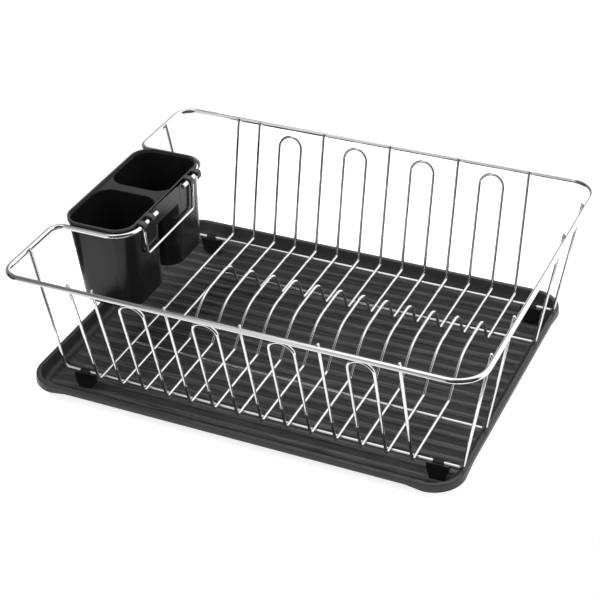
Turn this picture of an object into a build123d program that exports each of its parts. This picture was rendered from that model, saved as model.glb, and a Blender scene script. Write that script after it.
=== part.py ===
"""Dish drying rack: chrome wire basket on a moulded drip tray, with a hanging cutlery holder.

Frame: millimetres, +Z up, +X along the rack towards the end away from the cutlery holder,
+Y towards the back. The origin is the middle of the rack in plan, on the surface it stands on.
Every sub-part is written to parts/NODE.step.
"""
from build123d import *
from math import atan2, cos, sin, sqrt
import os

# ---------------------------------------------------------------- wire stock
rim_wire_d = 5.0            # thick wire of the rim
rack_wire_d = 3.0           # wire of the rack's floor, legs and loops
bend_r = 4.5                # bend radius of the rack wires, at the wire's centre
weld_gap = 0.02             # wires are welded where they touch, this far apart on paper

# ---------------------------------------------------------------- rack
floor_depth = 290.0         # cross wires, between their upward bends
end_bay = 44.5              # from the outermost cross wires to the upward bends of the long wires
rim_end_reach = 26.0        # rim's centre out beyond those bends
rim_side_reach = 34.0       # rim's centre out beyond the upward bends of the cross wires
rim_corner_r = 28.0         # corners at the open end
stub_corner_r = 18.0        # corners beside the notch for the cutlery holder
rim_rise = 125.0            # from the rack's floor up to the rim
wire_tip_rise = 3.2         # cut wire ends stand this far above the rim's centre
cross_pitch = 25.0
straight_cross_wires = 2    # first cross wires, beside the cutlery holder, have no hump
cross_pattern = "SSLSLSLSLS"  # S is a single cross wire, L is a closed loop of two
loop_drop = 6.7             # top of the loops below the rim's centre
outer_long_wire_inset = 10.5  # outer long wires, in from the upward bends of the cross wires
mid_long_wire_y = 74.0
long_wire_overhang = 2.0    # cut end of a middle long wire past the first cross wire

# humps that hold the plates apart: feet, shoulders and rounding, seen from the side
hump_front_room = 22.0      # from the middle long wires to the feet of the humps
hump_back_room = 17.0
hump_front_run = 32.0       # from the front foot to the front shoulder
hump_back_run = 12.0        # from the back shoulder to the back foot
hump_front_rise = 31.5
hump_back_rise = 34.0
hump_front_r = 45.0
hump_back_r = 21.0

# ---------------------------------------------------------------- notch for the cutlery holder
notch_reach = 10.5          # inner run of the rim, in past the first cross wire
notch_width = 167.0         # between the two sides, wire centres
notch_inner_r = 24.0
notch_outer_r = 12.0
rim_end_gap = 54.0          # between the two cut ends of the rim wire
bracket_span = 101.0        # between its legs at the top
bracket_splay = 3.5         # each leg leans out by this much
bracket_set_out = 2.0       # legs are welded this far round the rim wire, on the holder's side
bracket_drop = 36.5         # below the rim's centre

# ---------------------------------------------------------------- clip feet
foot_inset = 23.0           # middle of a foot, in from the upward bends of the long wires
foot_length = 22.0
foot_base_length = 14.0
foot_width = 9.0
foot_base_width = 12.0
foot_body_rise = 10.5       # height of the part that widens along the wire
foot_height = 15.7          # from the foot's base up to the wire's centre
foot_jaw_wall = 1.4         # jaws that reach over the wire in the middle of the foot
foot_jaw_length = 10.5
foot_slot = 1.8             # snap-in slot between the jaws
foot_fit = 0.05             # clearance round the wire

# ---------------------------------------------------------------- drip tray
tray_room_left = 29.4       # from the feet to the foot of the tray's wall
tray_room_right = 5.4
tray_room_side = 17.15
tray_edge_drop = 1.0        # top edge of the tray below the centre of the long wires
tray_wall = 1.6
tray_floor = 2.0
tray_flange = 4.6           # width of the top edge
tray_edge_r = 1.2           # rounding of the top edge
tray_draft = 5.5            # lean of the inner wall over its height
tray_cove_r = 14.0          # rounding between wall and floor
tray_corner_r = 30.0
skirt_height = 4.6          # folded-down edge along the sides
skirt_corner_drop = 3.2     # how much deeper it is at the corners
skirt_ramp = 22.0           # length over which it comes down
skirt_flare = 0.8
rib_pitch = 16.4
rib_width = 9.0
rib_height = 2.0
rib_groove_width = 8.0      # hollow under each rib
rib_room = 10.0             # from the foot of the side walls to the first rib, at least
rib_bury = 0.1              # ends of the ribs go this far into the cove

# ---------------------------------------------------------------- cutlery holder
cup_wall = 1.8
cup_floor = 2.2
cup_height = 92.0
cup_corner_r = 20.0
cup_gap = 7.5               # between the two cups at the top
cup_side_draft = 4.2        # lean of the walls over the height, across the rack's depth
cup_outer_draft = 8.0       # lean of the wall at the open side of the notch
cup_inner_draft = 0.6
cup_end_inset = 3.5         # open side of the cups, in from the rim's left end
holder_wire_gap = 1.3       # cup to rim wire at the sides of the notch
collar_height = 4.0
collar_rise = 2.2           # top of the collar above the rim wire
collar_bead = 2.0           # thickness of the raised edge round the mouths
collar_side_lip = 0.9       # how far the collar stands out over the cups
collar_end_lip = 0.9
saddle_drop = 2.6           # the bridge between the mouths is this much lower than the edge
web_height = 20.5
web_wall = 1.8
seat_gap = 0.3              # between pieces that rest on each other but come apart
hook_width = 6.0
hook_wall = 1.8
hook_reach = 4.6            # prong below the rim wire's centre
hook_end_room = 12.7         # middle of a hook from the cut end of the rim
hook_bracket_room = 5.0     # middle of a hook from the bracket's leg
drain_hole_d = 4.0
drain_hole_pitch = 14.0
drain_hole_count = 3        # along each side of the pattern

# ---------------------------------------------------------------- levels and derived places
rim_r = rim_wire_d / 2
wire_r = rack_wire_d / 2
rib_top_z = tray_floor + rib_height
foot_base_z = rib_top_z + seat_gap
long_wire_z = foot_base_z + foot_height
cross_wire_z = long_wire_z + rack_wire_d + weld_gap
rim_z = cross_wire_z + rim_rise
tip_z = rim_z + wire_tip_rise
touch = rim_r + wire_r + weld_gap   # rim centre to the centre of a wire that lies against it

cross_wire_count = sum(2 if kind == "L" else 1 for kind in cross_pattern)
first_cross_x = -cross_pitch * (cross_wire_count - 1) / 2
floor_length = 2 * (end_bay - first_cross_x)
rim_length = floor_length + 2 * rim_end_reach
rim_depth = floor_depth + 2 * rim_side_reach
outer_long_wire_y = floor_depth / 2 - outer_long_wire_inset
hump_front_y = hump_front_room - mid_long_wire_y
hump_back_y = mid_long_wire_y - hump_back_room
notch_inner_x = first_cross_x + notch_reach

foot_x = floor_length / 2 - foot_inset
wall_foot = tray_flange + tray_draft
tray_length = 2 * foot_x + foot_length + tray_room_left + tray_room_right + 2 * wall_foot
tray_depth = 2 * outer_long_wire_y + foot_base_width + 2 * tray_room_side + 2 * wall_foot
tray_offset = (tray_room_right - tray_room_left) / 2
tray_height = long_wire_z - tray_edge_drop
skirt_low_z = tray_height - skirt_height - skirt_corner_drop
wall_angle = atan2(tray_draft, tray_height - tray_floor)
cove_run = tray_cove_r * cos(wall_angle) / (1 + sin(wall_angle))
cove_start = wall_foot + cove_run   # where the flat floor begins, in from the tray's outer edge

holder_half_depth = notch_width / 2 - rim_r - holder_wire_gap
holder_inner_x = notch_inner_x - rim_r - seat_gap - hook_wall
holder_width = holder_inner_x + rim_length / 2 - cup_end_inset
hook_positions = (rim_end_gap / 2 + hook_end_room, bracket_span / 2 + hook_bracket_room)
holder_top_z = rim_z + rim_r + collar_rise
collar_z = holder_top_z - collar_height
saddle_z = holder_top_z - saddle_drop
cup_base_z = holder_top_z - cup_height


def lean(foot, rim, height):
    """Sideways travel per millimetre of height of a leg that lies against the rim's inner side.

    The leg starts at distance foot from the middle and touches a rim at distance rim.
    """
    travel = rim - foot
    angle = atan2(travel, height)
    for _ in range(4):
        angle = atan2(travel - touch / cos(angle), height)
    return sin(angle) / cos(angle)


cross_lean = lean(floor_depth / 2, rim_depth / 2, rim_rise)
long_lean = lean(floor_length / 2, rim_length / 2, rim_z - long_wire_z)


def cross_leg_y(z):
    """Distance of a cross wire's leg from the middle of the rack at height z."""
    return floor_depth / 2 + cross_lean * (z - cross_wire_z)


def long_leg_x(z):
    """Distance of a long wire's leg from the middle of the rack at height z."""
    return floor_length / 2 + long_lean * (z - long_wire_z)


def cross_x(index):
    """Place of a cross wire along the rack, counted from 1."""
    return first_cross_x + cross_pitch * (index - 1)


# ---------------------------------------------------------------- wire tools
def swept(path, radius):
    """Round wire along a path."""
    start = path.position_at(0)
    section = Plane(origin=start, z_dir=path.tangent_at(0)) * Circle(radius)
    return sweep(section, path=path)


def bent_wire(points, radii, radius):
    """Round wire through straight runs joined by bends, one radius for each inner point."""
    return swept(FilletPolyline(*points, radius=radii), radius)


def hump_points(x):
    """Corner points of the hump of one cross wire, from front to back, with their radii."""
    low = cross_wire_z
    points = [
        (x, hump_front_y, low),
        (x, hump_front_y + hump_front_run, low + hump_front_rise),
        (x, hump_back_y - hump_back_run, low + hump_back_rise),
        (x, hump_back_y, low),
    ]
    return points, [bend_r, hump_front_r, hump_back_r, bend_r]


def cross_run(x, top, humped):
    """Path of one cross wire from its front leg's top over the floor to its back leg's top."""
    middle, middle_radii = hump_points(x) if humped else ([], [])
    leg_y = cross_leg_y(top)
    foot_y = floor_depth / 2
    points = [(x, -leg_y, top), (x, -foot_y, cross_wire_z)]
    points += middle
    points += [(x, foot_y, cross_wire_z), (x, leg_y, top)]
    return points, [bend_r] + middle_radii + [bend_r]


def single_cross_wire(index):
    points, radii = cross_run(cross_x(index), tip_z, index > straight_cross_wires)
    return bent_wire(points, radii, wire_r)


def cross_loop(index):
    """Two cross wires joined at the front and the back by a round arch in the plane of the legs."""
    arch_r = cross_pitch / 2
    slope = atan2(cross_lean, 1)
    arch_base = rim_z - loop_drop - arch_r * cos(slope)
    loop = Part()
    for side in (0, 1):
        points, radii = cross_run(cross_x(index + side), arch_base, index + side > straight_cross_wires)
        loop += bent_wire(points, radii, wire_r)
    for end in (-1, 1):
        centre = Vector(cross_x(index) + arch_r, end * cross_leg_y(arch_base), arch_base)
        up = Vector(0, end * sin(slope), cos(slope))
        across = Vector(arch_r, 0, 0)
        arch = ThreePointArc(centre - across, centre + up * arch_r, centre + across)
        loop += swept(arch, wire_r)
    return loop


def long_wire(y, full_length):
    """Wire under the cross wires. A full one turns up at both ends, a short one at the right end."""
    leg_x = long_leg_x(tip_z)
    foot = floor_length / 2
    points = [(foot, y, long_wire_z), (leg_x, y, tip_z)]
    if full_length:
        points = [(-leg_x, y, tip_z), (-foot, y, long_wire_z)] + points
        return bent_wire(points, [bend_r, bend_r], wire_r)
    points = [(first_cross_x - long_wire_overhang, y, long_wire_z)] + points
    return bent_wire(points, [bend_r], wire_r)


def rim():
    """Thick rim wire, open between its two ends behind the cutlery holder."""
    left = -rim_length / 2
    right = rim_length / 2
    half_depth = rim_depth / 2
    side = notch_width / 2
    end_y = rim_end_gap / 2
    front = [(notch_inner_x, -end_y), (notch_inner_x, -side), (left, -side)]
    front += [(left, -half_depth), (right, -half_depth)]
    back = [(x, -y) for x, y in reversed(front)]
    front_radii = [notch_inner_r, notch_outer_r, stub_corner_r, rim_corner_r]
    points = [(x, y, rim_z) for x, y in front + back]
    return bent_wire(points, front_radii + front_radii[::-1], rim_r)


def bracket():
    """U-shaped wire that hangs from the two ends of the rim and ties them together."""
    x = notch_inner_x - bracket_set_out
    top = rim_z - rim_r - weld_gap
    low = rim_z - bracket_drop
    half_top = bracket_span / 2
    half_low = half_top - bracket_splay
    points = [(x, -half_top, top), (x, -half_low, low), (x, half_low, low), (x, half_top, top)]
    return bent_wire(points, [bend_r, bend_r], wire_r)


# ---------------------------------------------------------------- moulded pieces
def rounded(length, depth, radius, z, centre=(0, 0)):
    """Rounded rectangle at height z."""
    return Plane.XY.offset(z) * Pos(centre[0], centre[1]) * RectangleRounded(length, depth, radius)


def foot(x, y):
    """Clip foot that snaps onto a long wire from below and stands on the tray's ribs."""
    shoulder_z = foot_base_z + foot_body_rise
    base = Plane.XY.offset(foot_base_z) * Pos(x, y) * Rectangle(foot_base_length, foot_base_width)
    shoulder = Plane.XY.offset(shoulder_z) * Pos(x, y) * Rectangle(foot_length, foot_width)
    body = loft([base, shoulder])
    body += extrude(shoulder, amount=long_wire_z - shoulder_z)
    body = fillet(body.edges().filter_by(Axis.Z), foot_width / 8)
    along = Pos(x, y, long_wire_z) * Rot(0, 90, 0)
    jaw_r = wire_r + foot_fit + foot_jaw_wall
    body += along * Cylinder(jaw_r, foot_jaw_length)
    body -= along * Cylinder(wire_r + foot_fit, 2 * foot_length)
    body -= Pos(x, y, long_wire_z + jaw_r) * Box(2 * foot_length, foot_slot, 2 * jaw_r)
    return body


def tray_section():
    """Section through the tray's edge, drawn inwards from the outer edge and up from the ground."""
    low = skirt_low_z
    under = tray_height - tray_wall
    slope = tray_draft / (tray_height - tray_floor)
    outer_foot = wall_foot + tray_floor * slope - tray_wall / cos(wall_angle)
    flat = cove_start + tray_wall
    top_line = [(-skirt_flare, low), (0, tray_height), (tray_flange, tray_height)]
    top_line += [(wall_foot, tray_floor), (flat, tray_floor)]
    low_line = [(flat, 0), (outer_foot, 0), (outer_foot - under * slope, under)]
    skirt_line = [low_line[-1], (tray_wall, under), (tray_wall - skirt_flare, low), top_line[0]]
    outline = FilletPolyline(*top_line, radius=[tray_edge_r, tray_edge_r, tray_cove_r]).edges()
    outline += Line(top_line[-1], low_line[0]).edges()
    outline += FilletPolyline(*low_line, radius=[tray_cove_r + tray_wall]).edges()
    outline += Polyline(*skirt_line).edges()
    return make_face(outline)


def tray_ribs(width, height, z, length):
    """Low rounded ribs along the tray's floor, standing on height z."""
    half = width / 2
    profile = make_face([ThreePointArc((-half, 0), (0, height), (half, 0)), Line((-half, 0), (half, 0))])
    section = Plane(origin=(tray_offset - length / 2, 0, z), x_dir=(0, 1, 0), z_dir=(1, 0, 0))
    count = int((tray_depth - 2 * wall_foot - 2 * rib_room) / rib_pitch)
    ribs = Part()
    for number in range(count):
        shift = (number - (count - 1) / 2) * rib_pitch
        ribs += extrude(section * Pos(shift, 0) * profile, amount=length)
    return ribs


def skirt_arch(length, side_place, turned):
    """Long shallow notch under one side of the skirt, so that the skirt is deeper at the corners."""
    high = skirt_low_z + skirt_corner_drop
    reach = length / 2 - tray_corner_r
    low_edge = [(-reach, skirt_low_z), (reach, skirt_low_z)]
    high_edge = [(reach - skirt_ramp, high), (skirt_ramp - reach, high)]
    shape = Polygon(*low_edge, *high_edge, align=None)
    if turned:
        plane = Plane(origin=(side_place, 0, 0), x_dir=(0, 1, 0), z_dir=(1, 0, 0))
    else:
        plane = Plane(origin=(tray_offset, side_place, 0), x_dir=(1, 0, 0), z_dir=(0, -1, 0))
    return extrude(plane * shape, amount=1.5 * tray_wall, both=True)


def drip_tray():
    """Moulded tray: ribbed floor, coved leaning walls, rounded top edge and folded-down skirt."""
    centre = (tray_offset, 0)
    path = rounded(tray_length, tray_depth, tray_corner_r, 0, centre).face().outer_wire()
    start = path.position_at(0)
    along = path.tangent_at(0)
    section = Plane(origin=start, x_dir=Vector(0, 0, 1).cross(along), z_dir=along) * tray_section()
    tray = sweep(section, path=path)
    inset = 2 * cove_start + tray_wall
    floor_face = rounded(tray_length - inset, tray_depth - inset, tray_corner_r - inset / 2, 0, centre)
    tray += extrude(floor_face, amount=tray_floor)
    for end in (-1, 1):
        tray -= skirt_arch(tray_length, end * tray_depth / 2, False)
        tray -= skirt_arch(tray_depth, tray_offset + end * tray_length / 2, True)
    rib_run = cove_start - sqrt(rib_height * (2 * tray_cove_r - rib_height)) - rib_bury
    tray += tray_ribs(rib_width, rib_height, tray_floor, tray_length - 2 * rib_run)
    tray -= tray_ribs(rib_groove_width, rib_height, 0, tray_length - 2 * cove_start - 2 * rib_width)
    return tray


def cup_section(side, z, inset, top_share):
    """Outline of one cup. top_share is 1 at the top and 0 at the floor, inset goes into the wall."""
    lean_share = 1 - top_share
    outer_x = holder_inner_x - holder_width + cup_outer_draft * lean_share + inset
    inner_x = holder_inner_x - cup_inner_draft * lean_share - inset
    near_y = cup_gap / 2 + cup_side_draft * lean_share + inset
    far_y = holder_half_depth - cup_side_draft * lean_share - inset
    corner = cup_corner_r - cup_side_draft * lean_share / 2 - inset
    centre = ((outer_x + inner_x) / 2, side * (near_y + far_y) / 2)
    return rounded(inner_x - outer_x, far_y - near_y, corner, z, centre)


def holder_hook(y):
    """Finger that reaches over the rim wire and down behind it."""
    fit = rim_r + seat_gap
    inner = holder_inner_x - cup_wall
    outer = notch_inner_x + fit + hook_wall
    low = rim_z - hook_reach
    top = rim_z + fit + hook_wall
    block = Pos((inner + outer) / 2, y, (low + top) / 2) * Box(outer - inner, hook_width, top - low)
    outer_edges = block.edges().filter_by(Axis.Y).group_by(Axis.X)[-1].sort_by(Axis.Z)
    block = fillet(outer_edges[-1], fit + hook_wall)
    block = fillet(block.edges().filter_by(Axis.Y).group_by(Axis.X)[-1].sort_by(Axis.Z)[0], hook_wall)
    channel = Pos(notch_inner_x, y, rim_z) * Rot(90, 0, 0) * Cylinder(fit, 2 * hook_width)
    mouth = Pos(notch_inner_x, y, rim_z - hook_reach) * Box(2 * fit, 2 * hook_width, 2 * hook_reach)
    return block - channel - mouth


def cutlery_holder():
    """Two tapering cups under one collar, with a low bridge between the mouths and four hooks."""
    centre = (holder_inner_x - holder_width / 2, 0)
    collar_l = holder_width + 2 * collar_end_lip
    collar_d = 2 * (holder_half_depth + collar_side_lip)
    collar_r = cup_corner_r + collar_side_lip
    collar = extrude(rounded(collar_l, collar_d, collar_r, collar_z, centre), amount=collar_height)
    bead = 2 * collar_bead
    recess = rounded(collar_l - bead, collar_d - bead, collar_r - collar_bead, saddle_z, centre)
    holder = collar - extrude(recess, amount=saddle_drop)
    for side in (-1, 1):
        holder += loft([cup_section(side, cup_base_z, 0, 0), cup_section(side, saddle_z, 0, 1)])
    web_y = cup_gap + 2 * cup_side_draft + 2 * cup_corner_r
    web_lean = cup_outer_draft * (web_height + saddle_drop) / cup_height
    outer_web_x = holder_inner_x - holder_width + web_lean + web_wall / 2
    for face_x in (holder_inner_x - web_wall / 2, outer_web_x):
        holder += Pos(face_x, 0, saddle_z - web_height / 2) * Box(web_wall, web_y, web_height)
    for side in (-1, 1):
        floor_section = cup_section(side, cup_base_z + cup_floor, cup_wall, 0)
        holder -= loft([floor_section, cup_section(side, holder_top_z, cup_wall, 1)])
        for place in hook_positions:
            holder += holder_hook(side * place)
    middle = holder_inner_x - (holder_width + cup_inner_draft) / 2 + cup_outer_draft / 2
    half = drain_hole_pitch * (drain_hole_count - 1) / 2
    holes = GridLocations(drain_hole_pitch, drain_hole_pitch, drain_hole_count, drain_hole_count)
    drain = Cylinder(drain_hole_d / 2, 4 * cup_floor)
    for side in (-1, 1):
        cup_y = side * (cup_gap / 2 + holder_half_depth) / 2
        holder -= Pos(middle, cup_y, cup_base_z) * holes * drain
    return holder


# ---------------------------------------------------------------- build and write
def build_parts():
    parts = {"drip_tray": drip_tray(), "rim_wire": rim(), "holder_bracket": bracket()}
    parts["cutlery_holder"] = cutlery_holder()
    index = 1
    for kind in cross_pattern:
        if kind == "S":
            parts[f"cross_wire_{index}"] = single_cross_wire(index)
            index += 1
        else:
            parts[f"cross_loop_{index}_{index + 1}"] = cross_loop(index)
            index += 2
    for name, y, full in (
        ("front", -outer_long_wire_y, True),
        ("mid_front", -mid_long_wire_y, False),
        ("mid_back", mid_long_wire_y, False),
        ("back", outer_long_wire_y, True),
    ):
        parts[f"long_wire_{name}"] = long_wire(y, full)
    for row, y in (("front", -outer_long_wire_y), ("back", outer_long_wire_y)):
        for end, x in (("left", -foot_x), ("right", foot_x)):
            parts[f"foot_{row}_{end}"] = foot(x, y)
    return parts


os.makedirs("parts", exist_ok=True)
for node, shape in build_parts().items():
    export_step(shape, f"parts/{node}.step")
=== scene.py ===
"""Chrome dish drying rack on a moulded drip tray, with a cutlery holder hung in its rim.

Every wire is bent from straight runs and round bends, as a wire bender makes it. The moulded pieces
are copies of their solids with rounded edges. Sizes and finishes are settings that the panel shows.
"""

from math import atan2, cos, pi, radians, sin, tan

import bmesh
import bpy
from bpy.props import FloatProperty, FloatVectorProperty, IntProperty, PointerProperty
from mathutils import Matrix, Vector


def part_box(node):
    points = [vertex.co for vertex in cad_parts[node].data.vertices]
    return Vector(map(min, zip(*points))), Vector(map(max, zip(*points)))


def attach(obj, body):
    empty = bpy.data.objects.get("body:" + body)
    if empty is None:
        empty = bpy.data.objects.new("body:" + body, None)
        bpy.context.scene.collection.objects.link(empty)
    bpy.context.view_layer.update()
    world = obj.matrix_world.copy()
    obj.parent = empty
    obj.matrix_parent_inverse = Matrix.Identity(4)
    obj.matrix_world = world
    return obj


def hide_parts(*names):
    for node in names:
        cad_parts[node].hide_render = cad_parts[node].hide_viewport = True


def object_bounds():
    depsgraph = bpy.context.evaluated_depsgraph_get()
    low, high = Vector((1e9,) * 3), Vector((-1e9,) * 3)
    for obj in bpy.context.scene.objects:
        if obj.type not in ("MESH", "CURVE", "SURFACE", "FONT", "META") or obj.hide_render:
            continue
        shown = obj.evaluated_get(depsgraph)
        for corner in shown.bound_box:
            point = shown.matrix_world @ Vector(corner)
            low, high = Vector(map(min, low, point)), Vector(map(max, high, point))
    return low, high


bl_info = {
    "name": "Dish Drying Rack",
    "version": (1, 0, 0),
    "blender": (4, 5, 0),
    "location": "3D View > Sidebar > Dish Rack",
    "description": "Builds a chrome wire dish rack with its drip tray and cutlery holder",
    "category": "Object",
}

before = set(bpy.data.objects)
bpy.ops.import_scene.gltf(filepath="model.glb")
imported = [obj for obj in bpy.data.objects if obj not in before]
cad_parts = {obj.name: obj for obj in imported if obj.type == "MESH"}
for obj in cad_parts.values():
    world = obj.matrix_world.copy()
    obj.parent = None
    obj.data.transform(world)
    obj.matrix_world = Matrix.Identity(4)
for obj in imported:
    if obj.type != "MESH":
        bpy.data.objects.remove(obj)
solid_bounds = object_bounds()

WHITE = (1.0, 1.0, 1.0, 1.0)
BEND_STEP = radians(9)  # turn of one segment of a bend
FEWEST_BEND_STEPS = 3
END_ROUNDING = 0.28  # rounding of a cut wire's end, as a share of its radius
SEAM_SHARE = 0.02  # ends of a closed wire this near, as a share of its radius, become one
SMOOTH_ANGLE = radians(38)  # edges sharper than this stay sharp in the shading
MOULD_ANGLE = radians(30)  # moulded edges sharper than this are rounded
FLAT_ANGLE = radians(0.2)  # triangles that differ less become one flat face
MERGE_DISTANCE = 0.000002
FLOOR_REACH = 6.0  # half the floor's depth
FLOOR_GLOW = 0.80  # with the lamps' light this shows the floor white
FLOOR_MIRRORED = 0.30  # glow of the floor in mirrors
WORLD_LIGHT = 0.45  # strength of the world's soft light
WORLD_MIRRORED = 1.15  # strength of the room in mirrors
LAMP_AIM = Vector((0.0, 0.0, 0.05))


# ---------------------------------------------------------------- settings
class RimSettings(bpy.types.PropertyGroup):
    """Sizes of the thick rim wire that its box does not give."""

    corner_radius: FloatProperty(
        name="Corner radius", description="Bends at the open end", default=0.028, unit="LENGTH"
    )
    stub_radius: FloatProperty(
        name="Stub radius", description="Bends beside the notch", default=0.018, unit="LENGTH"
    )
    notch_inner_radius: FloatProperty(
        name="Notch inner radius",
        description="Bends at the inner run of the notch",
        default=0.024,
        unit="LENGTH",
    )
    notch_outer_radius: FloatProperty(
        name="Notch outer radius",
        description="Bends where the notch meets the end",
        default=0.012,
        unit="LENGTH",
    )
    notch_width: FloatProperty(
        name="Notch width", description="Between the notch's sides", default=0.167, unit="LENGTH"
    )
    end_gap: FloatProperty(
        name="End gap", description="Between the rim wire's two ends", default=0.054, unit="LENGTH"
    )
    set_out: FloatProperty(
        name="Bracket set out", description="Bracket out from the rim", default=0.002, unit="LENGTH"
    )
    splay: FloatProperty(
        name="Bracket splay", description="Lean of each bracket leg", default=0.0035, unit="LENGTH"
    )
    sides: IntProperty(
        name="Sides", description="Faces around the rim wire", default=32, min=8, max=64
    )


class WireSettings(bpy.types.PropertyGroup):
    """Bends of the rack's thinner wires."""

    bend_radius: FloatProperty(
        name="Bend radius", description="Bend at the wire's centre", default=0.0045, unit="LENGTH"
    )
    hump_front: FloatProperty(
        name="Hump front", description="Front foot of the hump", default=-0.052, unit="LENGTH"
    )
    hump_back: FloatProperty(
        name="Hump back", description="Back foot of the hump", default=0.057, unit="LENGTH"
    )
    hump_front_run: FloatProperty(
        name="Front run", description="Foot to shoulder", default=0.032, unit="LENGTH"
    )
    hump_back_run: FloatProperty(
        name="Back run", description="Shoulder to foot", default=0.012, unit="LENGTH"
    )
    hump_front_rise: FloatProperty(
        name="Front rise", description="Front shoulder's height", default=0.0315, unit="LENGTH"
    )
    hump_back_rise: FloatProperty(
        name="Back rise", description="Back shoulder's height", default=0.034, unit="LENGTH"
    )
    hump_front_radius: FloatProperty(
        name="Front shoulder", description="Rounding", default=0.045, unit="LENGTH"
    )
    hump_back_radius: FloatProperty(
        name="Back shoulder", description="Rounding", default=0.021, unit="LENGTH"
    )
    sides: IntProperty(name="Sides", description="Faces around a wire", default=24, min=8, max=48)


class RackLayout(bpy.types.PropertyGroup):
    """Where the rack's wires bend up."""

    cross_foot: FloatProperty(
        name="Cross foot",
        description="Bend of a cross wire from the middle",
        default=0.145,
        unit="LENGTH",
    )
    long_foot: FloatProperty(
        name="Long foot",
        description="Bend of a long wire from the middle",
        default=0.207,
        unit="LENGTH",
    )
    straight_wires: IntProperty(
        name="Straight wires", description="Cross wires without a hump", default=2, min=0
    )


class ChromeFinish(bpy.types.PropertyGroup):
    """Bright plating of every wire."""

    colour: FloatVectorProperty(
        name="Colour",
        description="Reflected tint",
        default=(0.90, 0.905, 0.91),
        size=3,
        subtype="COLOR",
    )
    roughness: FloatProperty(
        name="Roughness",
        description="Blur of the plating",
        default=0.02,
        min=0,
        max=1,
        subtype="FACTOR",
    )


class PlasticFinish(bpy.types.PropertyGroup):
    """Black moulded plastic of the tray, the holder and the feet."""

    colour: FloatVectorProperty(
        name="Colour",
        description="Body colour",
        default=(0.008, 0.008, 0.009),
        size=3,
        subtype="COLOR",
    )
    roughness: FloatProperty(
        name="Roughness",
        description="Satin of the surface",
        default=0.26,
        min=0,
        max=1,
        subtype="FACTOR",
    )
    grain: FloatProperty(
        name="Grain", description="Depth of the moulded grain", default=0.00004, unit="LENGTH"
    )


class MouldSettings(bpy.types.PropertyGroup):
    """Edges and finish of each moulded piece."""

    tray_edge: FloatProperty(
        name="Tray edge", description="Rounding of the tray's edges", default=0.0003, unit="LENGTH"
    )
    holder_edge: FloatProperty(
        name="Holder edge",
        description="Rounding of the holder's edges",
        default=0.00022,
        unit="LENGTH",
    )
    foot_edge: FloatProperty(
        name="Foot edge", description="Rounding of the feet's edges", default=0.00025, unit="LENGTH"
    )
    tray_gloss: FloatProperty(
        name="Tray gloss", description="Roughness taken off the tray", default=-0.04
    )
    holder_gloss: FloatProperty(
        name="Holder gloss", description="Roughness taken off the holder", default=0.07
    )
    foot_gloss: FloatProperty(
        name="Foot gloss", description="Roughness taken off the feet", default=0.08
    )
    # the tray's streaks are partly flow marks and partly a painted sheen on the rib tops
    tray_streaks: FloatProperty(
        name="Tray streaks",
        description="Strength of the flow streaks",
        default=1.0,
        min=0,
        max=1,
        subtype="FACTOR",
    )
    # depth of the painted highlight along the top of the holder's collar
    lip_highlight_depth: FloatProperty(
        name="Lip depth",
        description="Pale lip of the holder's collar",
        default=0.0018,
        unit="LENGTH",
    )


class StageSettings(bpy.types.PropertyGroup):
    """Floor, lamps and camera."""

    floor_colour: FloatVectorProperty(
        name="Floor colour",
        description="Pale studio floor",
        default=(0.64, 0.64, 0.64),
        size=3,
        subtype="COLOR",
    )
    table_side: FloatProperty(
        name="Table side", description="Table beside the rack", default=0.10, unit="LENGTH"
    )
    table_front: FloatProperty(
        name="Table front", description="Table in front of the rack", default=0.12, unit="LENGTH"
    )
    azimuth: FloatProperty(
        name="Azimuth",
        description="Camera turned from the front",
        default=radians(26.043),
        subtype="ANGLE",
    )
    elevation: FloatProperty(
        name="Elevation",
        description="Camera above the floor",
        default=radians(33.758),
        subtype="ANGLE",
    )
    roll: FloatProperty(
        name="Roll", description="Camera tilted sideways", default=-0.043, subtype="ANGLE"
    )
    distance: FloatProperty(
        name="Distance", description="Camera to aim point", default=1.5822, unit="LENGTH"
    )
    aim: FloatVectorProperty(
        name="Aim",
        description="Point in the middle of the view, from the middle of the rack's wire floor",
        default=(-0.01267, -0.00113, 0.040),
        size=3,
        subtype="XYZ",
        unit="LENGTH",
    )
    lens: FloatProperty(name="Lens", description="Focal length", default=95.99, unit="CAMERA")


# ---------------------------------------------------------------- shader maths
class Value:
    """A node's output socket that takes part in arithmetic."""

    def __init__(self, shader, socket):
        self.shader = shader
        self.socket = socket

    def _math(self, operation, other, swapped=False):
        first, second = (other, self) if swapped else (self, other)
        return self.shader.node("ShaderNodeMath", {"operation": operation}, {0: first, 1: second})

    def __add__(self, other):
        return self._math("ADD", other)

    def __radd__(self, other):
        return self._math("ADD", other, True)

    def __sub__(self, other):
        return self._math("SUBTRACT", other)

    def __rsub__(self, other):
        return self._math("SUBTRACT", other, True)

    def __mul__(self, other):
        return self._math("MULTIPLY", other)

    def __rmul__(self, other):
        return self._math("MULTIPLY", other, True)

    def most(self, other):
        """The larger of the two at each place."""
        return self._math("MAXIMUM", other)


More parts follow.
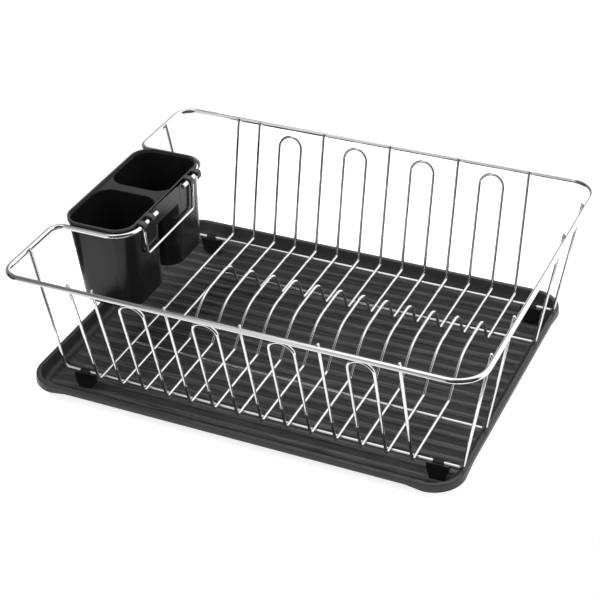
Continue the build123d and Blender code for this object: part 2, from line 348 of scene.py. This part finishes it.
class Shader:
    """A material's or the world's node tree."""

    def __init__(self, owner):
        owner.use_nodes = True
        self.tree = owner.node_tree
        self.tree.nodes.clear()

    def node(self, kind, settings=None, inputs=None, output=0):
        """Add a node: its settings first, then values or links on its sockets."""
        node = self.tree.nodes.new(kind)
        for name, value in (settings or {}).items():
            if name == "stops":
                self._stops(node.color_ramp, value)
            else:
                setattr(node, name, value)
        for name, value in (inputs or {}).items():
            if isinstance(value, Value):
                self.tree.links.new(value.socket, node.inputs[name])
            else:
                node.inputs[name].default_value = value
        return Value(self, node.outputs[output]) if len(node.outputs) else None

    @staticmethod
    def _stops(ramp, stops):
        while len(ramp.elements) < len(stops):
            ramp.elements.new(1.0)
        for element, (position, grey) in zip(ramp.elements, stops):
            element.position = position
            element.color = (grey, grey, grey, 1.0)

    def place(self, scale=(1.0, 1.0, 1.0)):
        """Object coordinates, scaled."""
        spot = self.node("ShaderNodeTexCoord", output="Object")
        return self.node("ShaderNodeMapping", None, {"Vector": spot, "Scale": scale})

    def axis(self, vector, letter):
        """The X, Y or Z of a vector."""
        return self.node("ShaderNodeSeparateXYZ", None, {"Vector": vector}, output=letter)

    def ray(self, kind):
        """One where the light path is of the given kind, and nought elsewhere."""
        return self.node("ShaderNodeLightPath", output=f"Is {kind} Ray")

    def noise(self, scale, detail=2.0, roughness=0.5, at=None):
        """Noise on the given vector, or else on the piece's own coordinates."""
        inputs = {"Scale": scale, "Detail": detail, "Roughness": roughness}
        inputs["Vector"] = at or self.place()
        return self.node("ShaderNodeTexNoise", None, inputs)

    def ramp(self, value, *stops):
        """Grey ramp through stops of (position, grey)."""
        return self.node("ShaderNodeValToRGB", {"stops": stops}, {"Fac": value})

    def tint(self, mask, dark, light):
        """Mix two colours by a mask."""
        inputs = {0: mask, 6: (*dark, 1.0), 7: (*light, 1.0)}
        return self.node("ShaderNodeMix", {"data_type": "RGBA"}, inputs, output=2)

    def bump(self, height, distance, strength=1.0, normal=None):
        """Normal raised by a height, on top of another normal where one is given."""
        inputs = {"Height": height, "Distance": distance, "Strength": strength}
        if normal:
            inputs["Normal"] = normal
        return self.node("ShaderNodeBump", None, inputs)

    def background(self, colour, strength):
        """World light of one colour, or of a mask."""
        return self.node("ShaderNodeBackground", None, {"Color": colour, "Strength": strength})

    def mix(self, factor, first, second):
        """Mix two shaders by a factor."""
        return self.node("ShaderNodeMixShader", None, {0: factor, 1: first, 2: second})

    def surface(self, inputs):
        """Principled surface with the given sockets."""
        shade = self.node("ShaderNodeBsdfPrincipled", None, inputs)
        self.node("ShaderNodeOutputMaterial", None, {"Surface": shade})


def chrome_material(finish):
    """Bright plating: slow waves in the drawn wire, faint water film and a few dull specks."""
    made = bpy.data.materials.new("bright_chrome")
    shader = Shader(made)
    water = shader.noise(38.0, detail=4.0, roughness=0.6)
    film = shader.ramp(water, (0.42, 0.0), (0.70, 1.0))
    specks = shader.ramp(shader.noise(900.0), (0.66, 0.0), (0.74, 1.0))
    drawn = shader.noise(240.0, detail=3.0, roughness=0.6)
    dull = film * 0.03 + specks * 0.08
    dark = tuple(channel * 0.90 for channel in finish.colour)
    shader.surface(
        {
            "Base Color": shader.tint(specks * 0.6, tuple(finish.colour), dark),
            "Metallic": 1.0,
            "Roughness": dull + finish.roughness,
            "Normal": shader.bump(drawn, distance=0.00002, strength=0.4),
        }
    )
    return made


def plastic_material(name, finish, gloss=0.0, streaks=0.0, lip=0.0):
    """Moulded black plastic: fine grain, cloudy satin and faint rubbed places.

    Gloss is taken off the roughness. Streaks are the strength of pale flow marks along X in the
    tray's bottom, which also paint a sheen on the rib tops; the hollows between the ribs are dull,
    and painted shade darkens them. Above the height of the lip a painted highlight makes the
    plastic pale.
    """
    made = bpy.data.materials.new(name)
    shader = Shader(made)
    cloud = shader.noise(21.0, detail=4.0, roughness=0.6)
    grain = shader.noise(1900.0, detail=2.0, roughness=0.6)
    patches = shader.noise(60.0, detail=5.0, roughness=0.65)
    rubbed = shader.ramp(patches, (0.55, 0.0), (0.80, 1.0))
    # lift of the pale colour: a little for rubbed wear, more for the painted sheen on the tray's
    # rib tops and the painted highlight on the holder's lip
    wear_and_sheen_lift = 0.004 + 0.046 * streaks + (0.036 if lip else 0.0)
    light = tuple(channel * 1.5 + wear_and_sheen_lift for channel in finish.colour)
    shade = rubbed * 0.5 + cloud * 0.2
    rough = cloud * 0.08 + rubbed * 0.05 + (finish.roughness - gloss - 0.05)
    base = None
    if streaks:
        centimetres = shader.axis(shader.place((1.0, 1.0, 100.0)), "Z")
        # painted shade: the hollows between the ribs are darkened in colour, and also made rougher
        hollow_shade = shader.ramp(centimetres, (0.24, 1.0), (0.36, 0.0))
        bottom = shader.ramp(centimetres, (0.44, 1.0), (0.80, 0.0))
        stretched = shader.place((24.0, 460.0, 24.0))
        flow = shader.noise(1.0, detail=3.0, roughness=0.6, at=stretched) * bottom
        # pale streaks on the ribbed bottom: partly flow marks, partly a painted sheen on the rib
        # tops
        streak_sheen = shader.ramp(flow, (0.36, 0.1), (0.66, 1.0)) * streaks + (1.0 - bottom) * 0.3
        shade = (shade * 0.4 + streak_sheen) * (1.0 - hollow_shade * 0.6)
        rough = rough + hollow_shade * 0.32
        base = shader.bump(flow, distance=0.0005, strength=0.5 * streaks)
    if lip:
        # painted highlight: the collar's lip above this height is made pale
        height = shader.axis(shader.place(), "Z")
        painted_lip_highlight = shader.ramp(height, (lip - 0.0003, 0.0), (lip + 0.0005, 1.0))
        shade = (shade * 0.3).most(painted_lip_highlight)
    shader.surface(
        {
            "Base Color": shader.tint(shade, tuple(finish.colour), light),
            "Roughness": rough,
            "Specular IOR Level": 0.42,
            "Normal": shader.bump(grain, distance=finish.grain, strength=0.6, normal=base),
        }
    )
    return made


def chrome():
    """The plating of every wire, made the first time it is asked for."""
    finish = bpy.context.scene.rack_chrome
    return bpy.data.materials.get("bright_chrome") or chrome_material(finish)


def plastic(name, gloss=0.0, streaks=0.0, lip=0.0):
    """Black plastic of one piece, made the first time it is asked for."""
    finish = bpy.context.scene.rack_plastic
    return bpy.data.materials.get(name) or plastic_material(name, finish, gloss, streaks, lip)


# ---------------------------------------------------------------- mesh tools
def finished_piece(name, mesh_data, material, body, slot_name, *nodes):
    """Turn a bmesh into a piece that rides on a body and stands for the given nodes."""
    bmesh.ops.recalc_face_normals(mesh_data, faces=mesh_data.faces)
    mesh = bpy.data.meshes.new(name)
    mesh_data.to_mesh(mesh)
    mesh_data.free()
    mesh.materials.append(material)
    piece = bpy.data.objects.new(name, mesh)
    bpy.context.scene.collection.objects.link(piece)
    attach(piece, body)
    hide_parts(*nodes)
    return piece


def soften(mesh_data):
    """Shade smooth, and keep edges sharp where two faces meet at a wide angle."""
    for face in mesh_data.faces:
        face.smooth = True
    for edge in mesh_data.edges:
        edge.smooth = len(edge.link_faces) != 2 or edge.calc_face_angle(0.0) < SMOOTH_ANGLE


class WireBender:
    """Feeds a round wire along straight runs and bends it round."""

    def __init__(self, radius, sides):
        self.radius = radius
        self.sides = sides

    def bend(self, mesh_data, points, radii, closed=False):
        """Add a wire through points, with one bend radius for each point between the ends."""
        points = [Vector(point) for point in points]
        heading = (points[1] - points[0]).normalized()
        turn = heading.to_track_quat("Z", "Y").to_matrix().to_4x4()
        place = Matrix.Translation(points[0]) @ turn
        start = bmesh.ops.create_circle(
            mesh_data, cap_ends=not closed, segments=self.sides, radius=self.radius, matrix=place
        )["verts"]
        ring = list(dict.fromkeys(edge for vert in start for edge in vert.link_edges))
        first = ring
        here = points[0]
        for corner, beyond, radius in zip(points[1:], points[2:], radii):
            heading = (corner - here).normalized()
            leaving = (beyond - corner).normalized()
            angle = heading.angle(leaving)
            bend_start = corner - heading * radius * tan(angle / 2)
            ring = self._feed(mesh_data, ring, bend_start - here)
            axis = heading.cross(leaving).normalized()
            centre = bend_start + axis.cross(heading) * radius
            steps = max(FEWEST_BEND_STEPS, round(angle / BEND_STEP))
            made = bmesh.ops.spin(
                mesh_data,
                geom=ring,
                cent=centre,
                axis=axis,
                angle=angle,
                steps=steps,
                use_merge=False,
            )["geom_last"]
            ring = [part for part in made if isinstance(part, bmesh.types.BMEdge)]
            here = corner + leaving * radius * tan(angle / 2)
        ring = self._feed(mesh_data, ring, points[-1] - here)
        if not closed:
            bmesh.ops.edgeloop_fill(mesh_data, edges=ring)
            self._round_ends(mesh_data, ring + first)

    def _round_ends(self, mesh_data, rims):
        """Round the edges of the wire's two cut ends."""
        bmesh.ops.bevel(
            mesh_data,
            geom=rims,
            offset=self.radius * END_ROUNDING,
            offset_type="OFFSET",
            segments=3,
            profile=0.5,
            affect="EDGES",
            material=-1,
            clamp_overlap=True,
        )

    @staticmethod
    def _feed(mesh_data, ring, travel):
        """Push the wire's end forward, and return the edges of its new end."""
        if travel.length < 1e-6:
            return ring
        made = bmesh.ops.extrude_edge_only(mesh_data, edges=ring)["geom"]
        moved = [part for part in made if isinstance(part, bmesh.types.BMVert)]
        bmesh.ops.translate(mesh_data, verts=moved, vec=travel)
        edges = [part for part in made if isinstance(part, bmesh.types.BMEdge)]
        return [edge for edge in edges if all(vert in moved for vert in edge.verts)]


def wire_piece(node, points, radii, wire_radius, sides, closed=False):
    """Bent wire that stands for a node of the rack."""
    mesh_data = bmesh.new()
    WireBender(wire_radius, sides).bend(mesh_data, points, radii, closed)
    if closed:
        seam = wire_radius * SEAM_SHARE
        bmesh.ops.remove_doubles(mesh_data, verts=mesh_data.verts, dist=seam)
    soften(mesh_data)
    return finished_piece(node + "_chrome", mesh_data, chrome(), "rack", "chrome_wire", node)


# ---------------------------------------------------------------- places read from the solids
def nodes_named(start):
    """Names of the solids that begin with the given words, in order."""
    return sorted(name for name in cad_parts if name.startswith(start))


class Levels:
    """Heights and reaches of the rack's wires, taken from their boxes."""

    def __init__(self):
        low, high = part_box("rim_wire")
        self.rim_radius = (high.z - low.z) / 2
        self.rim_z = (high.z + low.z) / 2
        self.rim_x = high.x - self.rim_radius
        self.rim_y = high.y - self.rim_radius
        low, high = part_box("cross_wire_1")
        self.radius = (high.x - low.x) / 2
        self.cross_z = low.z + self.radius


def leaning_end(reach, top, radius, foot):
    """Centre of a leaning wire's cut end, from its box's reach and top.

    The foot is where the wire begins to lean, as (reach, height).
    """
    end_reach, end_top = reach, top
    for _ in range(6):  # the lean and the end's centre settle each other
        lean = atan2(end_reach - foot[0], end_top - foot[1])
        end_reach = reach - radius * cos(lean)
        end_top = top - radius * sin(lean)
    return end_reach, end_top


# ---------------------------------------------------------------- operators
class RACK_OT_rim(bpy.types.Operator):
    """Bend the thick rim wire with its notch for the cutlery holder"""

    bl_idname = "rack.rim"
    bl_label = "Rim Wire"

    def execute(self, context):
        sizes = context.scene.rack_rim
        level = Levels()
        side = sizes.notch_width / 2
        low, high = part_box("holder_bracket")
        notch_x = (low.x + high.x) / 2 + sizes.set_out
        front = [
            (notch_x, -sizes.end_gap / 2),
            (notch_x, -side),
            (-level.rim_x, -side),
            (-level.rim_x, -level.rim_y),
            (level.rim_x, -level.rim_y),
        ]
        back = [(x, -y) for x, y in reversed(front)]
        radii = [
            sizes.notch_inner_radius,
            sizes.notch_outer_radius,
            sizes.stub_radius,
            sizes.corner_radius,
        ]
        points = [(x, y, level.rim_z) for x, y in front + back]
        wire_piece("rim_wire", points, radii + radii[::-1], level.rim_radius, sizes.sides)
        return {"FINISHED"}


def hump(sizes, x, floor_z):
    """Corners and radii of the hump that holds the plates apart."""
    points = [
        (x, sizes.hump_front, floor_z),
        (x, sizes.hump_front + sizes.hump_front_run, floor_z + sizes.hump_front_rise),
        (x, sizes.hump_back - sizes.hump_back_run, floor_z + sizes.hump_back_rise),
        (x, sizes.hump_back, floor_z),
    ]
    radii = [
        sizes.bend_radius,
        sizes.hump_front_radius,
        sizes.hump_back_radius,
        sizes.bend_radius,
    ]
    return points, radii


class RACK_OT_cross_wires(bpy.types.Operator):
    """Bend the single cross wires, with a hump on all but the first two"""

    bl_idname = "rack.cross_wires"
    bl_label = "Cross Wires"

    def execute(self, context):
        sizes = context.scene.rack_wires
        layout = context.scene.rack_layout
        level = Levels()
        foot = layout.cross_foot
        for node in nodes_named("cross_wire_"):
            low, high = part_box(node)
            x = (low.x + high.x) / 2
            reach, top = leaning_end(high.y, high.z, level.radius, (foot, level.cross_z))
            humped = int(node.rsplit("_", 1)[1]) > layout.straight_wires
            middle, middle_radii = hump(sizes, x, level.cross_z) if humped else ([], [])
            points = [(x, -reach, top), (x, -foot, level.cross_z)] + middle
            points += [(x, foot, level.cross_z), (x, reach, top)]
            radii = [sizes.bend_radius] + middle_radii + [sizes.bend_radius]
            wire_piece(node, points, radii, level.radius, sizes.sides)
        return {"FINISHED"}


class RACK_OT_cross_loops(bpy.types.Operator):
    """Bend the closed loops: two humped cross wires joined by an arch at both ends"""

    bl_idname = "rack.cross_loops"
    bl_label = "Cross Loops"

    def execute(self, context):
        sizes = context.scene.rack_wires
        level = Levels()
        foot = context.scene.rack_layout.cross_foot
        for node in nodes_named("cross_loop_"):
            low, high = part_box(node)
            left = low.x + level.radius
            right = high.x - level.radius
            arch = (right - left) / 2
            crown_y = high.y - level.radius
            crown_z = high.z - level.radius
            points = []
            radii = []
            for x, way in ((left, 1), (right, -1)):
                middle, middle_radii = hump(sizes, x, level.cross_z)
                run = [(x, -crown_y, crown_z), (x, -foot, level.cross_z)] + middle
                run += [(x, foot, level.cross_z), (x, crown_y, crown_z)]
                run_radii = [arch, sizes.bend_radius] + middle_radii + [sizes.bend_radius, arch]
                points += run[::way]
                radii += run_radii[::way]
            start = (Vector(points[0]) + Vector(points[1])) / 2
            points = [start] + points[1:] + [points[0], start]
            radii = radii[1:] + [radii[0]]
            wire_piece(node, points, radii, level.radius, sizes.sides, closed=True)
        return {"FINISHED"}


class RACK_OT_long_wires(bpy.types.Operator):
    """Bend the long wires that lie under the cross wires and turn up to the rim"""

    bl_idname = "rack.long_wires"
    bl_label = "Long Wires"

    def execute(self, context):
        sizes = context.scene.rack_wires
        level = Levels()
        foot = context.scene.rack_layout.long_foot
        for node in nodes_named("long_wire_"):
            low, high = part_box(node)
            y = (low.y + high.y) / 2
            z = low.z + level.radius
            reach, top = leaning_end(high.x, high.z, level.radius, (foot, z))
            points = [(foot, y, z), (reach, y, top)]
            radii = [sizes.bend_radius]
            if low.x < -foot:
                points = [(-reach, y, top), (-foot, y, z)] + points
                radii = radii * 2
            else:
                points = [(low.x, y, z)] + points
            wire_piece(node, points, radii, level.radius, sizes.sides)
        return {"FINISHED"}


class RACK_OT_bracket(bpy.types.Operator):
    """Bend the thin wire that ties the rim wire's two ends"""

    bl_idname = "rack.bracket"
    bl_label = "Holder Bracket"

    def execute(self, context):
        sizes = context.scene.rack_wires
        level = Levels()
        low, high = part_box("holder_bracket")
        x = (low.x + high.x) / 2
        foot_z = low.z + level.radius
        foot = high.y - level.radius - context.scene.rack_rim.splay
        reach, top = leaning_end(high.y, high.z, level.radius, (foot, foot_z))
        points = [(x, -reach, top), (x, -foot, foot_z), (x, foot, foot_z), (x, reach, top)]
        wire_piece("holder_bracket", points, [sizes.bend_radius] * 2, level.radius, sizes.sides)
        return {"FINISHED"}


def moulded_piece(node, body, material, rounding):
    """Copy of a moulded solid, merged and cleaned, with its sharp edges rounded."""
    mesh_data = bmesh.new()
    mesh_data.from_mesh(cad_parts[node].data)
    bmesh.ops.remove_doubles(mesh_data, verts=mesh_data.verts, dist=MERGE_DISTANCE)
    bmesh.ops.dissolve_limit(
        mesh_data,
        angle_limit=FLAT_ANGLE,
        use_dissolve_boundaries=False,
        verts=mesh_data.verts,
        edges=mesh_data.edges,
    )
    shared = [edge for edge in mesh_data.edges if len(edge.link_faces) == 2]
    bmesh.ops.bevel(
        mesh_data,
        geom=[edge for edge in shared if edge.calc_face_angle(0.0) > MOULD_ANGLE],
        offset=rounding,
        offset_type="OFFSET",
        segments=2,
        profile=0.5,
        affect="EDGES",
        material=-1,
        clamp_overlap=False,
    )
    soften(mesh_data)
    piece = finished_piece(node + "_moulded", mesh_data, material, body, "black_plastic", node)
    even = piece.modifiers.new("even_shading", "WEIGHTED_NORMAL")
    even.keep_sharp = True
    return piece


class RACK_OT_feet(bpy.types.Operator):
    """Mould the clip feet"""

    bl_idname = "rack.feet"
    bl_label = "Clip Feet"

    def execute(self, context):
        moulds = context.scene.rack_moulds
        material = plastic("foot_plastic", gloss=moulds.foot_gloss)
        for node in nodes_named("foot_"):
            moulded_piece(node, "rack", material, moulds.foot_edge)
        return {"FINISHED"}


class RACK_OT_tray(bpy.types.Operator):
    """Mould the drip tray"""

    bl_idname = "rack.tray"
    bl_label = "Drip Tray"

    def execute(self, context):
        moulds = context.scene.rack_moulds
        material = plastic("tray_plastic", gloss=moulds.tray_gloss, streaks=moulds.tray_streaks)
        moulded_piece("drip_tray", "tray", material, moulds.tray_edge)
        return {"FINISHED"}


class RACK_OT_holder(bpy.types.Operator):
    """Mould the cutlery holder"""

    bl_idname = "rack.holder"
    bl_label = "Cutlery Holder"

    def execute(self, context):
        moulds = context.scene.rack_moulds
        # height above which a painted highlight lightens the collar's lip
        lip = solid_bounds[1][2] - moulds.lip_highlight_depth
        material = plastic("holder_plastic", gloss=moulds.holder_gloss, lip=lip)
        moulded_piece("cutlery_holder", "holder", material, moulds.holder_edge)
        return {"FINISHED"}


# ---------------------------------------------------------------- stage
def floor_material(settings):
    """Pale table top that shows white to the camera, and dimmer in mirrors, most in front."""
    made = bpy.data.materials.new("studio_floor")
    shader = Shader(made)
    matt = shader.node("ShaderNodeBsdfDiffuse", None, {"Color": (*settings.floor_colour, 1.0)})
    behind = shader.ramp(shader.axis(shader.place(), "Y"), (0.20, 0.0), (0.26, 0.45))
    straight = shader.ray("Camera").most(shader.ray("Transmission")) * FLOOR_GLOW
    mirrored = shader.ray("Glossy") * (behind + FLOOR_MIRRORED)
    glow = shader.node("ShaderNodeEmission", None, {"Color": straight + mirrored, "Strength": 1.0})
    both = shader.node("ShaderNodeAddShader", None, {0: matt, 1: glow})
    shader.node("ShaderNodeOutputMaterial", None, {"Surface": both})
    return made


def studio_world(scene):
    """Even soft light. Mirrors see a white wall behind, a bright ceiling and the room in front.

    The room has a light patch just left of the middle, and the wall is dimmer on the left.
    """
    world = bpy.data.worlds.new("studio")
    scene.world = world
    shader = Shader(world)
    direction = shader.node("ShaderNodeTexCoord", output="Generated")
    across = shader.axis(direction, "X") * 0.5 + 0.5
    along = shader.axis(direction, "Y") * 0.5 + 0.5
    height = shader.axis(direction, "Z")
    wall = shader.ramp(along, (0.44, 0.0), (0.58, 1.0))
    ceiling = shader.ramp(height, (0.80, 0.0), (0.90, 1.0))
    ceiling = ceiling * shader.ramp(across, (0.44, 1.0), (0.52, 0.1))
    dim_left = shader.ramp(across, (0.28, 0.20), (0.335, 1.0))
    low = shader.ramp(height, (0.20, 1.0), (0.32, 0.0))
    low_patch = shader.ramp(across, (0.20, 0.05), (0.24, 0.62), (0.36, 0.62), (0.44, 0.03))
    high_patch = shader.ramp(
        across, (0.26, 0.15), (0.29, 0.60), (0.32, 0.60), (0.35, 0.35), (0.42, 0.05)
    )
    room = low_patch * low + high_patch * (1.0 - low)
    room = room * shader.ramp(along, (0.36, 1.0), (0.44, 0.0))
    mirror = (wall.most(ceiling) * dim_left).most(room)
    plain = shader.background(WHITE, WORLD_LIGHT)
    mirrored = shader.background(mirror, WORLD_MIRRORED)
    lit = shader.mix(shader.ray("Glossy"), plain, mirrored)
    seen = shader.mix(shader.ray("Camera"), lit, shader.background(WHITE, 1.0))
    shader.node("ShaderNodeOutputWorld", None, {"Surface": seen})


def softbox(name, place, width, height, power):
    """Rectangular soft lamp turned to the rack. Mirrors see the bright room instead of it."""
    lamp = bpy.data.lights.new(name, "AREA")
    lamp.shape = "RECTANGLE"
    lamp.size = width
    lamp.size_y = height
    lamp.energy = power
    stand = bpy.data.objects.new(name, lamp)
    bpy.context.scene.collection.objects.link(stand)
    stand.visible_glossy = False
    stand.location = place
    stand.rotation_euler = (LAMP_AIM - Vector(place)).to_track_quat("-Z", "Y").to_euler()


class RACK_OT_stage(bpy.types.Operator):
    """Set up the pale floor, the soft lamps and the camera"""

    bl_idname = "rack.stage"
    bl_label = "Studio Stage"

    def execute(self, context):
        scene = context.scene
        settings = scene.rack_stage
        mesh_data = bmesh.new()
        bmesh.ops.create_grid(mesh_data, x_segments=1, y_segments=1, size=1.0)
        low, high = solid_bounds
        half = (high[0] - low[0]) / 2 + settings.table_side
        front = low[1] - settings.table_front
        centre = ((low[0] + high[0]) / 2, front + FLOOR_REACH, low[2])
        bmesh.ops.scale(mesh_data, verts=mesh_data.verts, vec=(half, FLOOR_REACH, 1.0))
        bmesh.ops.translate(mesh_data, verts=mesh_data.verts, vec=centre)
        mesh = bpy.data.meshes.new("studio_floor")
        mesh_data.to_mesh(mesh)
        mesh_data.free()
        mesh.materials.append(floor_material(settings))
        floor = bpy.data.objects.new("studio_floor", mesh)
        scene.collection.objects.link(floor)
        studio_world(scene)
        softbox("key_softbox", (-1.3, -0.5, 1.9), width=1.2, height=1.2, power=30)
        softbox("back_softbox", (0.3, 1.0, 2.1), width=1.6, height=1.0, power=18)
        softbox("fill_softbox", (1.9, -1.0, 1.4), width=1.0, height=1.4, power=16)
        scene.view_settings.view_transform = "Standard"
        self._camera(scene, settings)
        return {"FINISHED"}

    @staticmethod
    def _camera(scene, settings):
        """Add the camera, turned round its aim point."""
        data = bpy.data.cameras.new("camera")
        data.lens = settings.lens
        data.sensor_width = 36.0
        data.clip_end = 50.0
        camera = bpy.data.objects.new("camera", data)
        scene.collection.objects.link(camera)
        turn = (
            Matrix.Rotation(settings.azimuth, 4, "Z")
            @ Matrix.Rotation(pi / 2 - settings.elevation, 4, "X")
            @ Matrix.Rotation(settings.roll, 4, "Z")
        )
        back = turn.to_3x3() @ Vector((0, 0, 1))
        aim = Vector(settings.aim) + Vector((0, 0, Levels().cross_z))
        camera.matrix_world = Matrix.Translation(aim + back * settings.distance) @ turn
        scene.camera = camera


class RACK_PT_panel(bpy.types.Panel):
    """Pieces and finishes of the dish rack"""

    bl_idname = "RACK_PT_panel"
    bl_label = "Dish Rack"
    bl_space_type = "VIEW_3D"
    bl_region_type = "UI"
    bl_category = "Dish Rack"

    def draw(self, context):
        for name in SETTINGS:
            group = getattr(context.scene, name)
            box = self.layout.box()
            for prop in group.bl_rna.properties:
                if prop.identifier not in {"rna_type", "name"}:
                    box.prop(group, prop.identifier)
        for operator in OPERATORS:
            self.layout.operator(operator.bl_idname)


SETTINGS = {
    "rack_rim": RimSettings,
    "rack_wires": WireSettings,
    "rack_layout": RackLayout,
    "rack_chrome": ChromeFinish,
    "rack_plastic": PlasticFinish,
    "rack_moulds": MouldSettings,
    "rack_stage": StageSettings,
}
OPERATORS = (
    RACK_OT_rim,
    RACK_OT_cross_wires,
    RACK_OT_cross_loops,
    RACK_OT_long_wires,
    RACK_OT_bracket,
    RACK_OT_feet,
    RACK_OT_tray,
    RACK_OT_holder,
    RACK_OT_stage,
)


def register():
    """Add the settings, the operators and the panel."""
    for kind in (*SETTINGS.values(), *OPERATORS, RACK_PT_panel):
        bpy.utils.register_class(kind)
    for name, kind in SETTINGS.items():
        setattr(bpy.types.Scene, name, PointerProperty(type=kind))


def unregister():
    """Take the settings, the operators and the panel away again."""
    for name in SETTINGS:
        delattr(bpy.types.Scene, name)
    for kind in (RACK_PT_panel, *reversed(OPERATORS), *reversed(list(SETTINGS.values()))):
        bpy.utils.unregister_class(kind)


def main():
    """Make every piece and the stage."""
    register()
    for operator in OPERATORS:
        group, action = operator.bl_idname.split(".")
        getattr(getattr(bpy.ops, group), action)()


if __name__ == "__main__":
    main()
